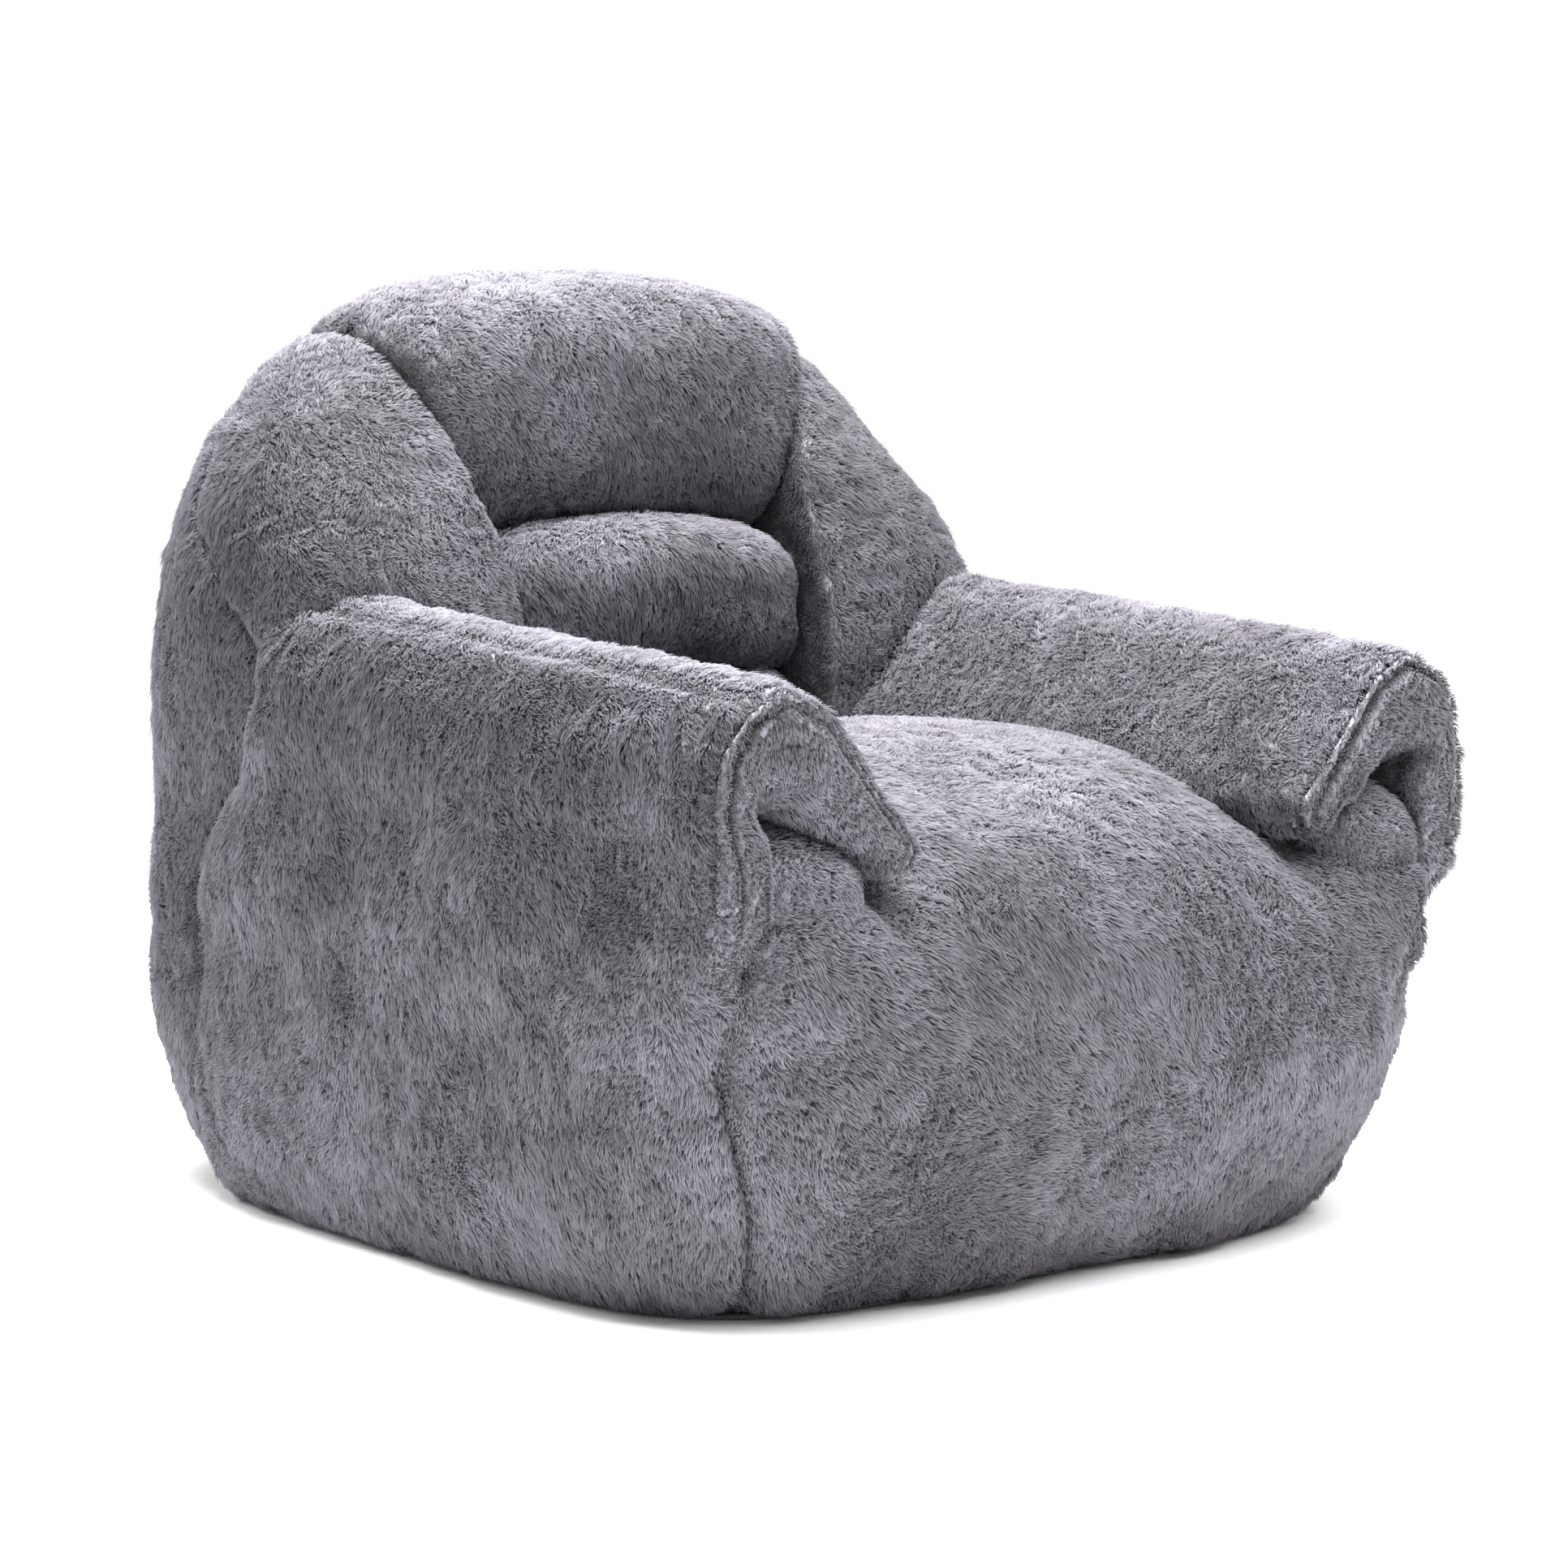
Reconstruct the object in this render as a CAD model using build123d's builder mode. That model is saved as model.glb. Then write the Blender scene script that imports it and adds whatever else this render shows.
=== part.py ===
"""A foam-filled bean bag armchair in plush faux fur.

Sewn cover panels, the pads under them, the inner bags with their foam, and the cover's zip.
Millimetres, +Z up, the front faces -Y, the origin is on the floor under the middle.
"""
import os
from math import sqrt

from build123d import *

os.makedirs("parts", exist_ok=True)

# ---- driving dimensions -------------------------------------------------------------------
BACK_HEIGHT = 890          # floor to the top of the back
SEAT_HEIGHT = 440          # floor to the crown of the seat
BODY_WIDTH = 910           # over the flanks of the seat block
FRONT_Y = -537             # the front panel's fullest place
REAR_Y = 533.5             # the rear panel's fullest place
BACK_FRONT_Y = 128         # face of the lumbar roll

SKIN = 9                   # plush fur fabric with its lining
LINER = 1.5                # woven inner bag
SEW_GAP = 0.5              # half the gap between two panels at a seam
BAG_GAP = 1.0              # between a panel and the pad or bag under it
FLOOR_GAP = 4              # lower edge of the side panels, above the base panel
BASE_THICKNESS = 3

SEAT_CORNER = 190          # plan radius of the seat block's corners
BACK_CORNER = 160          # plan radius of the back's edges
BACK_SHOULDER = 400        # the back's sides start to lean in above this
BACK_ROUNDNESS = 2.6       # exponent of the back's arched outline
BACK_HALF_WIDTH = 450

ARM_FRONT_Y = -497
ARM_SLOPE = 0.066          # the arm rises towards the back
ARM_LENGTH = 790
ARM_HALF_THICKNESS = 30
ARM_FOOT = (399, 300)
ARM_FOOT_FRONT = 344       # the outer wall of the arm starts this high beyond the front corner
ARM_FOOT_REACH = 52        # length of that overhang
ARM_TOP_OUTER = (442, 534)
ARM_TOP_INNER = (352, 534)
ARM_TIP = (258, 416)
BINDING_DEPTH = 12
POCKET_DEPTH = 270

LUMBAR_HALF_WIDTH = 186
TAIL_BOTTOM = 434
TAIL_TOP = 494
LUMBAR_TOP = 638
CROWN_TOP_HALF_WIDTH = 240

ZIP_HEIGHT = 250
ZIP_HALF_LENGTH = 262
ZIP_Y = 529                # middle of the tape's thickness
SLIDER_START_X = -245
ZIP_SLOT_HEIGHT = 36       # opening in the rear panel
ZIP_SLOT_END_GAP = 3       # between the tapes and the ends of that opening

FAR = 700                  # beyond every surface


# ---- forms --------------------------------------------------------------------------------
def keep(piece, name):
    """Label a finished piece and write it as one node."""
    piece.part.label = name
    export_step(piece.part, f"parts/{name}.step")


def floor_level(inset, open_foot):
    """Height of a form's underside: bags and fillings stand on the bag below them."""
    return -10 if open_foot else FLOOR_GAP + max(0, inset - SKIN)


def rounded_section(z, half_width, front_y, rear_y, corner):
    """One level section of a soft block: a rectangle with large corners."""
    depth = rear_y - front_y
    radius = min(corner, 0.47 * depth, 0.94 * half_width)
    with BuildSketch(Plane.XY.offset(z)) as section:
        with Locations((0, (front_y + rear_y) / 2)):
            RectangleRounded(2 * half_width, depth, radius)
    return section


def seat_levels(inset, open_foot):
    """Level, half width and front of the seat block, from the floor to the crown."""
    full = BODY_WIDTH / 2
    levels = [
        (0, full - 17, FRONT_Y + 104),
        (60, full - 3, FRONT_Y + 52),
        (130, full, FRONT_Y + 16),
        (220, full, FRONT_Y),
        (290, full - 2, FRONT_Y + 13),
        (330, full - 10, FRONT_Y + 46),
        (362, full - 38, FRONT_Y + 96),
        (400, full - 140, FRONT_Y + 185),
        (428, full - 270, FRONT_Y + 285),
        (SEAT_HEIGHT, full - 385, FRONT_Y + 390),
    ]
    moved = []
    for z, half_width, front_y in levels:
        level = floor_level(inset, open_foot) if z == 0 else z
        sunk = inset * min(max((z - 290) / 110, 0), 1)
        moved.append((level - sunk, half_width - inset, front_y + inset))
    return moved


def seat_block(inset, open_foot=False):
    """The seat's outer form moved inwards by inset; its rear is cut later by a zone."""
    rear_y = FAR - 150 + inset
    with BuildPart() as block:
        for z, half_width, front_y in seat_levels(inset, open_foot):
            section = rounded_section(z, half_width, front_y, rear_y, SEAT_CORNER - inset)
            add(section.sketch)
        loft(ruled=True)
    return block.part


def arch_half_width(z):
    """Half width of the back's arched outline at a height."""
    reach = (z - BACK_SHOULDER) / (BACK_HEIGHT - BACK_SHOULDER)
    return (BACK_HALF_WIDTH - 16) * (1 - reach ** BACK_ROUNDNESS) ** (1 / BACK_ROUNDNESS)


def crown_rounding(z):
    """How far the front and rear faces have turned in, close under the top of the back."""
    left = max(BACK_CORNER - (BACK_HEIGHT - z), 0)
    return BACK_CORNER - sqrt(BACK_CORNER ** 2 - left ** 2)


def back_block(inset, open_foot=False):
    """The back's outer form from the floor to the crown, moved inwards by inset."""
    flank = BACK_HALF_WIDTH
    foot = [(0, flank - 20, 70), (60, flank - 5, 40), (130, flank, 14), (220, flank, 0)]
    foot += [(280, flank, 0), (400, flank - 4, 0), (470, flank - 14, 0)]
    levels = []
    for z, half_width, tuck in foot:
        level = floor_level(inset, open_foot) if z == 0 else z
        levels.append((level, half_width - inset, BACK_FRONT_Y + inset, REAR_Y - tuck - inset))
    for z in (560, 640, 720, 780, 830, 862, 880, 888):
        turn = crown_rounding(z)
        lean = 70 * min(max((z - 500) / 350, 0), 1)
        sunk = inset * min((z - 470) / 300, 1)
        front_y = BACK_FRONT_Y + lean + turn + inset
        rear_y = REAR_Y - turn - inset
        levels.append((z - sunk, arch_half_width(z) - inset, front_y, rear_y))
    with BuildPart() as block:
        for z, half_width, front_y, rear_y in levels:
            section = rounded_section(z, half_width, front_y, rear_y, BACK_CORNER - inset)
            add(section.sketch)
        loft(ruled=True)
    return block.part


def side_profile_zone(shift, towards_rear):
    """All space behind, or in front of, the seam that runs from the floor over the back."""
    seam = [(358, -40), (350, 60), (312, 264), (278, 385), (216, 520), (298, 602), (370, 677)]
    seam += [(425, 790), (440, 960)]
    end_y = FAR if towards_rear else -FAR
    with BuildPart() as zone:
        with BuildSketch(Plane.YZ.offset(-FAR)):
            with BuildLine():
                line = Spline([(y + shift, z) for y, z in seam])
                Polyline([line @ 1, (end_y, 960), (end_y, -40), line @ 0])
            make_face()
        extrude(amount=2 * FAR)
    return zone.part


def front_prism(points, corner=0):
    """A closed outline, given as (x, z), as a bar that runs from the front to the rear."""
    with BuildPart() as bar:
        with BuildSketch(Plane.XZ.offset(-FAR)) as outline:
            with BuildLine():
                Polyline(points, close=True)
            make_face()
            if corner:
                fillet(outline.vertices(), corner)
        extrude(amount=2 * FAR)
    return bar.part


def mirrored(piece):
    """The left-hand copy of a right-hand piece."""
    with BuildPart() as copy:
        mirror(piece.part, about=Plane.YZ)
    return copy


seat_outer = seat_block(0)
seat_inner = seat_block(SKIN, open_foot=True)
seat_clear = seat_block(-1)
back_outer = back_block(0)
back_inner = back_block(SKIN, open_foot=True)
pad_form = back_block(SKIN + BAG_GAP)

# ---- base panel and seat ------------------------------------------------------------------
with BuildPart() as base_panel:
    with BuildSketch():
        with Locations((0, 15)):
            RectangleRounded(BODY_WIDTH - 50, 892, SEAT_CORNER - 20)
    extrude(amount=BASE_THICKNESS)
keep(base_panel, "base_panel")

front_zone = side_profile_zone(-SEW_GAP, towards_rear=False)
with BuildPart() as seat_skin:
    add(seat_outer)
    add(seat_inner, mode=Mode.SUBTRACT)
    add(front_zone, mode=Mode.INTERSECT)

# the seam down each front corner leaves the corner at 45 degrees
CORNER_X = 400
CORNER_Y = FRONT_Y + 56
corner_run = CORNER_Y + FAR


def seat_plan(gap):
    """Plan of the front-and-top panel: as wide as the corner seams, wider in front."""
    side = CORNER_X - gap
    with BuildPart() as plan:
        with BuildSketch():
            with BuildLine():
                Polyline(
                    (side, FAR), (side, CORNER_Y), (side + corner_run, -FAR),
                    (-side - corner_run, -FAR), (-side, CORNER_Y), (-side, FAR), close=True,
                )
            make_face()
        extrude(amount=SEAT_HEIGHT + 60)
    return plan.part


with BuildPart() as seat_panel:
    add(seat_skin.part)
    add(seat_plan(SEW_GAP), mode=Mode.INTERSECT)
keep(seat_panel, "seat_panel")

with BuildPart() as seat_liner:
    add(seat_block(SKIN + BAG_GAP))
    add(side_profile_zone(-2, towards_rear=False), mode=Mode.INTERSECT)
    with BuildPart(mode=Mode.PRIVATE) as seat_bag_inside:
        add(seat_block(SKIN + BAG_GAP + LINER))
        add(side_profile_zone(-2 - LINER, towards_rear=False), mode=Mode.INTERSECT)
    add(seat_bag_inside.part, mode=Mode.SUBTRACT)
keep(seat_liner, "seat_liner")

with BuildPart() as seat_filling:
    add(seat_block(SKIN + 2 * BAG_GAP + LINER))
    add(side_profile_zone(-3 - LINER, towards_rear=False), mode=Mode.INTERSECT)
keep(seat_filling, "seat_filling")

# ---- back: rear panel, inner bag, foam ----------------------------------------------------
with BuildPart() as rear_panel:
    add(back_outer)
    add(back_inner, mode=Mode.SUBTRACT)
    add(side_profile_zone(SEW_GAP, towards_rear=True), mode=Mode.INTERSECT)
    with BuildPart(mode=Mode.PRIVATE) as zip_slot:
        with Locations((0, REAR_Y, ZIP_HEIGHT)):
            Box(2 * (ZIP_HALF_LENGTH + ZIP_SLOT_END_GAP), 40, ZIP_SLOT_HEIGHT)
    add(zip_slot.part, mode=Mode.SUBTRACT)
keep(rear_panel, "rear_panel")

with BuildPart() as back_liner:
    add(pad_form)
    add(side_profile_zone(2, towards_rear=True), mode=Mode.INTERSECT)
    with BuildPart(mode=Mode.PRIVATE) as back_bag_inside:
        add(back_block(SKIN + BAG_GAP + LINER))
        add(side_profile_zone(2 + LINER, towards_rear=True), mode=Mode.INTERSECT)
    add(back_bag_inside.part, mode=Mode.SUBTRACT)
keep(back_liner, "back_liner")

with BuildPart() as back_filling:
    add(back_block(SKIN + 2 * BAG_GAP + LINER))
    add(side_profile_zone(3 + LINER, towards_rear=True), mode=Mode.INTERSECT)
keep(back_filling, "back_filling")

# ---- front of the back: crown, wings, lumbar roll, tail strip -----------------------------
pad_zone = side_profile_zone(-2, towards_rear=False)
crown_side = [(189, LUMBAR_TOP + 3), (206, 700), (222, 750), (236, 800)]
crown_side += [(CROWN_TOP_HALF_WIDTH, 850), (CROWN_TOP_HALF_WIDTH, 920)]


def back_pad(region):
    """One panel of the back's face and the pad behind it, clear of the seat below."""
    with BuildPart() as panel:
        add(back_outer)
        add(back_inner, mode=Mode.SUBTRACT)
        add(front_zone, mode=Mode.INTERSECT)
        add(region, mode=Mode.INTERSECT)
        add(seat_clear, mode=Mode.SUBTRACT)
    with BuildPart() as filling:
        add(pad_form)
        add(pad_zone, mode=Mode.INTERSECT)
        add(region, mode=Mode.INTERSECT)
        add(seat_clear, mode=Mode.SUBTRACT)
    return panel, filling


def keep_pad(pieces, name):
    """Write a pad's panel and filling."""
    keep(pieces[0], f"{name}_panel")
    keep(pieces[1], f"{name}_filling")


crown_region = front_prism([(-x, z) for x, z in reversed(crown_side)] + crown_side)
keep_pad(back_pad(crown_region), "crown")

lumbar_outline = [(-1, TAIL_TOP + 3), (-1, LUMBAR_TOP), (1, LUMBAR_TOP), (1, TAIL_TOP + 3)]
lumbar_region = front_prism([(x * LUMBAR_HALF_WIDTH, z) for x, z in lumbar_outline], 40)
keep_pad(back_pad(lumbar_region), "lumbar")

tail_outline = [(-1, TAIL_BOTTOM), (-1, TAIL_TOP), (1, TAIL_TOP), (1, TAIL_BOTTOM)]
tail_region = front_prism([(x * LUMBAR_HALF_WIDTH, z) for x, z in tail_outline], 18)
keep_pad(back_pad(tail_region), "tail")

wing_inner_side = [(LUMBAR_HALF_WIDTH + 2, TAIL_BOTTOM)] + [(x + 1, z) for x, z in crown_side]
wing_region = front_prism(wing_inner_side + [(FAR, 920), (FAR, TAIL_BOTTOM)])
right_wing = back_pad(wing_region)
keep_pad(right_wing, "right_wing")
keep_pad([mirrored(piece) for piece in right_wing], "left_wing")

# ---- arms: a padded flap folded over a pocket ---------------------------------------------
arm_run = Vector(0, 1, ARM_SLOPE)


def arm_plane(y):
    """The cross-section plane at y, lifted by the arm's slope; its own x and y are X and Z."""
    lift = ARM_SLOPE * (y - ARM_FRONT_Y)
    return Plane(origin=(0, y, lift), x_dir=(1, 0, 0), z_dir=(0, -1, 0))


def folded_flap(half_thickness, start_y, length):
    """The folded flap, as thick as asked, over one stretch of the arm."""
    with BuildPart() as flap:
        with BuildSketch(arm_plane(start_y)):
            with BuildLine() as middle:
                FilletPolyline(ARM_FOOT, ARM_TOP_OUTER, ARM_TOP_INNER, ARM_TIP, radius=42)
                offset(amount=half_thickness, side=Side.BOTH, mode=Mode.REPLACE)
            make_face()
        extrude(amount=length * arm_run.length, dir=arm_run)
    return flap.part


def arm_reach():
    """Plan of the space that the arms may fill: they end in front of the wings' round edges."""
    rounded_end = [(FAR, 258), (470, 236), (440, 198), (400, 158), (300, 120), (0, 120)]
    with BuildPart() as reach:
        with BuildSketch():
            with BuildLine():
                Polyline([(0, -FAR), (FAR, -FAR)] + rounded_end, close=True)
            make_face()
        extrude(amount=FAR)
    return reach.part


def front_corner_relief():
    """Space under the arm's front end, where the seat block's corner rounds away."""
    with BuildPart() as relief:
        with Locations((ARM_FOOT[0], ARM_FRONT_Y, ARM_FOOT_FRONT - 100)):
            Box(200, 2 * ARM_FOOT_REACH, 200)
    return relief.part


def pocket_space(start_y, length):
    """Everything under the flap's middle line, down into the seat."""
    with BuildPart() as space:
        with BuildSketch(arm_plane(start_y)):
            with BuildLine():
                fold = FilletPolyline(ARM_FOOT, ARM_TOP_OUTER, ARM_TOP_INNER, ARM_TIP, radius=42)
                Polyline(fold @ 1, (ARM_TIP[0], 280), (ARM_FOOT[0], 280), fold @ 0)
            make_face()
        extrude(amount=length * arm_run.length, dir=arm_run)
    return space.part


panel_start = ARM_FRONT_Y + BINDING_DEPTH + SEW_GAP
panel_length = ARM_LENGTH - BINDING_DEPTH
lining_length = POCKET_DEPTH - BINDING_DEPTH
flap_cover_inside = ARM_HALF_THICKNESS - SKIN
flap_pad = flap_cover_inside - BAG_GAP

arm_space = arm_reach()
corner_relief = front_corner_relief()
with BuildPart() as seat_top_clear:
    add(seat_clear)
    add(seat_plan(-SEW_GAP), mode=Mode.INTERSECT)

with BuildPart() as right_side_panel:
    add(folded_flap(ARM_HALF_THICKNESS, panel_start, panel_length))
    add(folded_flap(flap_cover_inside, panel_start - 1, panel_length + 2), mode=Mode.SUBTRACT)
    add(pocket_space(panel_start - 1, panel_length + 2), mode=Mode.SUBTRACT)
    add(arm_space, mode=Mode.INTERSECT)
    add(corner_relief, mode=Mode.SUBTRACT)
    add(seat_top_clear.part, mode=Mode.SUBTRACT)
    add(seat_inner, mode=Mode.SUBTRACT)
    with BuildPart(mode=Mode.PRIVATE) as flank:
        add(seat_skin.part)
        add(seat_plan(-SEW_GAP), mode=Mode.SUBTRACT)
        with BuildPart(mode=Mode.PRIVATE) as right_half:
            with Locations((FAR / 2, 0, FAR / 2)):
                Box(FAR, 2 * FAR, FAR)
        add(right_half.part, mode=Mode.INTERSECT)
    add(flank.part)
keep(right_side_panel, "right_side_panel")
keep(mirrored(right_side_panel), "left_side_panel")

with BuildPart() as right_mouth_binding:
    add(folded_flap(ARM_HALF_THICKNESS, ARM_FRONT_Y, BINDING_DEPTH))
    add(corner_relief, mode=Mode.SUBTRACT)
    add(seat_clear, mode=Mode.SUBTRACT)
keep(right_mouth_binding, "right_mouth_binding")
keep(mirrored(right_mouth_binding), "left_mouth_binding")

with BuildPart() as right_arm_filling:
    add(folded_flap(flap_pad, panel_start, panel_length))
    add(corner_relief, mode=Mode.SUBTRACT)
    add(arm_space, mode=Mode.INTERSECT)
    add(seat_clear, mode=Mode.SUBTRACT)
keep(right_arm_filling, "right_arm_filling")
keep(mirrored(right_arm_filling), "left_arm_filling")

pocket_end_y = ARM_FRONT_Y + POCKET_DEPTH
with BuildPart() as right_arm_lining:
    add(folded_flap(ARM_HALF_THICKNESS, panel_start, lining_length))
    add(pocket_space(panel_start, lining_length), mode=Mode.INTERSECT)
    add(pocket_space(pocket_end_y - SKIN, SKIN))
    add(folded_flap(flap_cover_inside, panel_start - 1, panel_length), mode=Mode.SUBTRACT)
    add(corner_relief, mode=Mode.SUBTRACT)
    add(seat_clear, mode=Mode.SUBTRACT)
keep(right_arm_lining, "right_arm_lining")
keep(mirrored(right_arm_lining), "left_arm_lining")

with BuildPart() as right_arm_core_filling:
    add(pocket_space(pocket_end_y + BAG_GAP, ARM_LENGTH - POCKET_DEPTH))
    add(folded_flap(flap_cover_inside, panel_start, panel_length), mode=Mode.SUBTRACT)
    add(arm_space, mode=Mode.INTERSECT)
    add(seat_clear, mode=Mode.SUBTRACT)
keep(right_arm_core_filling, "right_arm_core_filling")
keep(mirrored(right_arm_core_filling), "left_arm_core_filling")


# ---- bolsters: the rounded floors of the pockets ------------------------------------------
def bolster(inset, front_inset):
    """The half-round floor of a pocket, moved inwards by inset."""
    with BuildPart() as roll:
        with BuildSketch(Plane.XZ.offset(-(ARM_FRONT_Y + 5 + front_inset))):
            with BuildLine():
                Polyline((276, 384), (272, 300), (364, 300), (374, 372))
                ThreePointArc((374, 372), (332, 414), (276, 384))
            make_face()
            if inset:
                offset(amount=-inset, mode=Mode.REPLACE)
        extrude(amount=-(POCKET_DEPTH - 16 - front_inset))
        add(seat_clear, mode=Mode.SUBTRACT)
    return roll


with BuildPart() as right_bolster_panel:
    add(bolster(0, 0).part)
    add(bolster(SKIN, SKIN).part, mode=Mode.SUBTRACT)
keep(right_bolster_panel, "right_bolster_panel")
keep(mirrored(right_bolster_panel), "left_bolster_panel")

right_bolster_filling = bolster(SKIN + BAG_GAP, SKIN + BAG_GAP)
keep(right_bolster_filling, "right_bolster_filling")
keep(mirrored(right_bolster_filling), "left_bolster_filling")

# ---- cover zip: two tapes with their coils, stops, slider, pull ---------------------------
TAPE_THICKNESS = 1.2
TAPE_EDGE = 17.8           # from the zip's middle to the tape's sewn edge
COIL_THICKNESS = 4
COIL_START = 0.9
COIL_END = 4
PLATE_THICKNESS = 1.8
PLATE_GAP = 4.8
SLIDER_LENGTH = 16
SLIDER_WIDTH = 12
BRIDGE_HEIGHT = 4
PULL_THICKNESS = 1.6
PIVOT_Y = ZIP_Y + PLATE_GAP / 2 + PLATE_THICKNESS + 1.4


def block(low, high):
    """A box between two corners."""
    size = [b - a for a, b in zip(low, high)]
    middle = [(a + b) / 2 for a, b in zip(low, high)]
    with Locations(tuple(middle)):
        Box(*size)


def zip_tape(side):
    """Half of the zip: side is 1 above the middle line, -1 below it."""
    with BuildPart() as tape:
        near, far = sorted((side * COIL_START, side * TAPE_EDGE))
        thin = TAPE_THICKNESS / 2
        block((-ZIP_HALF_LENGTH, ZIP_Y - thin, ZIP_HEIGHT + near),
              (ZIP_HALF_LENGTH, ZIP_Y + thin, ZIP_HEIGHT + far))
        near, far = sorted((side * COIL_START, side * COIL_END))
        thick = COIL_THICKNESS / 2
        block((-ZIP_HALF_LENGTH + 4, ZIP_Y - thick, ZIP_HEIGHT + near),
              (ZIP_HALF_LENGTH - 4, ZIP_Y + thick, ZIP_HEIGHT + far))
    return tape


keep(zip_tape(1), "zip_upper_tape")
keep(zip_tape(-1), "zip_lower_tape")

with BuildPart() as zip_slider:
    half_length = SLIDER_LENGTH / 2
    half_width = SLIDER_WIDTH / 2
    for side in (-1, 1):
        inner = side * PLATE_GAP / 2
        outer = side * (PLATE_GAP / 2 + PLATE_THICKNESS)
        low, high = sorted((ZIP_Y + inner, ZIP_Y + outer))
        block((-half_length, low, -half_width), (half_length, high, half_width))
    fillet(zip_slider.edges().filter_by(Axis.Y), 3)
    for side in (-1, 1):
        for edge in (-1, 1):
            low, high = sorted((ZIP_Y + side * 1.1, ZIP_Y + side * (PLATE_GAP / 2 + 0.4)))
            lip = sorted((edge * 4.5, edge * half_width))
            block((-half_length + 3, low, lip[0]), (half_length - 3, high, lip[1]))
    block((4, ZIP_Y - 3, -0.6), (6.5, ZIP_Y + 3, 0.6))
    plate_y = ZIP_Y + PLATE_GAP / 2 + PLATE_THICKNESS
    for end in (-1, 1):
        low, high = sorted((end * 3.2, end * 5))
        block((low, plate_y - 0.3, -1.4), (high, plate_y + BRIDGE_HEIGHT, 1.4))
    block((-5, plate_y + BRIDGE_HEIGHT - 1.2, -1.4), (5, plate_y + BRIDGE_HEIGHT, 1.4))
zip_slider.part.locate(Location((SLIDER_START_X, 0, ZIP_HEIGHT)))
keep(zip_slider, "zip_slider")

with BuildPart() as zip_pull:
    with BuildSketch(Plane.XY.offset(-3.6)):
        with Locations((0, PIVOT_Y)):
            Circle(0.9)
    extrude(amount=7.2)
    with BuildSketch(Plane.XZ.offset(-(PIVOT_Y - PULL_THICKNESS / 2))):
        with Locations((-19, 0)):
            RectangleRounded(26, 10, 3)
        with Locations((-4.5, 0)):
            Rectangle(9, 7.2)
        with Locations((-4, 0)):
            Rectangle(8.4, 4, mode=Mode.SUBTRACT)
        with Locations((-27, 0)):
            Circle(2, mode=Mode.SUBTRACT)
    extrude(amount=-PULL_THICKNESS)
zip_pull.part.locate(Location((SLIDER_START_X, 0, ZIP_HEIGHT)))
keep(zip_pull, "zip_pull")

with BuildPart() as zip_stops:
    for end in (-1, 1):
        low, high = sorted((end * (ZIP_HALF_LENGTH - 3.8), end * (ZIP_HALF_LENGTH - 0.8)))
        block((low, ZIP_Y + TAPE_THICKNESS / 2 + 0.05, ZIP_HEIGHT - 4),
              (high, ZIP_Y + TAPE_THICKNESS / 2 + 1.6, ZIP_HEIGHT + 4))
keep(zip_stops, "zip_stops")
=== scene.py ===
import math

import bmesh
import bpy
import numpy as np
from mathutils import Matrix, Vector


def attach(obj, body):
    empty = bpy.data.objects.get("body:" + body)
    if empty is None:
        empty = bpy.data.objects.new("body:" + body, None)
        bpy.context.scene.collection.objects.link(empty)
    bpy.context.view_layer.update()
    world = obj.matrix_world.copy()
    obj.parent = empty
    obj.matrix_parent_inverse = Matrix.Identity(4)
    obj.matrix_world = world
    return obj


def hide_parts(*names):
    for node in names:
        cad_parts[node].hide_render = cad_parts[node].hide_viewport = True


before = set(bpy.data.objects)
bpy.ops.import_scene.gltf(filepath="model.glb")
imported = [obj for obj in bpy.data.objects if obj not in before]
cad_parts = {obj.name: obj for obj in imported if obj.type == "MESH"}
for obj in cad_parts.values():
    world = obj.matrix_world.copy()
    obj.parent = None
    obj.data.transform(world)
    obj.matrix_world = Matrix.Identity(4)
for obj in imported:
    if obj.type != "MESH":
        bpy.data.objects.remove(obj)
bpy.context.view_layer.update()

# ---- sizes, metres, in the frame of the CAD model ----------------------------------------
PILE = 0.006              # the backing lies this far under the tips of the fur
SEAM = 0.019              # how far two panels round away from the seam between them
FINE_SEAM = 0.012         # the same at the folded arms' mouths
MOUTH_Y = -0.4965         # front edge of the folded arms
BINDING_DEPTH = 0.022     # how far the strip round an arm's mouth reaches back
BINDING_FOOT_Z = 0.36     # lower end of that strip
ARM_SLOPE = 0.066         # how much an arm rises towards the rear, for each metre
ARM_THICK = 0.024         # half the thickness of the folded flap at the mouth
ARM_GROWTH = 0.018        # how much fuller the flap is a little behind the mouth
ARM_END_Y = 0.27          # where an arm runs out in the back
POCKET_END_Y = -0.235     # rear end of the hollow in an arm
BLOCK_HALF = (0.455, 0.519, 0.256)
SEAT_SIDE_X = 0.395       # seam between the seat panel and a side panel
SEAT_FOOT_LEAN = 0.058    # how far that seam leans towards the middle at the floor
SEAT_TOP_Z = 0.470
SEAT_END_Y = 0.22         # rear end of the seat panel, under the back
FRONT_CORNER_Y = -0.4875
BACK_HALF_WIDTH = 0.4335
BACK_WIDEST_Z = (0.26, 0.40)    # the back is as wide as it gets between these heights
BACK_REACH = (0.42, 0.49)       # and closes this far below and above them
BACK_EDGE = 0.16          # radius of the edge between the back's face and its outline
CROWN_HALF_WIDTH = 0.190
CROWN_SHIFT = 0.018       # the crown's upper part sits this far to the left
ZIP_Z = 0.25
ZIP_Y = 0.529
ZIP_HALF_LENGTH = 0.262
ZIP_SLOT_HALF = 0.018
ZIP_SLOT_END_X = 0.267
ZIP_SLOT_FLOOR_Y = 0.5215
UNDERSIDE_Z = 0.004       # the fur stands on the base cloth at this height
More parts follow.
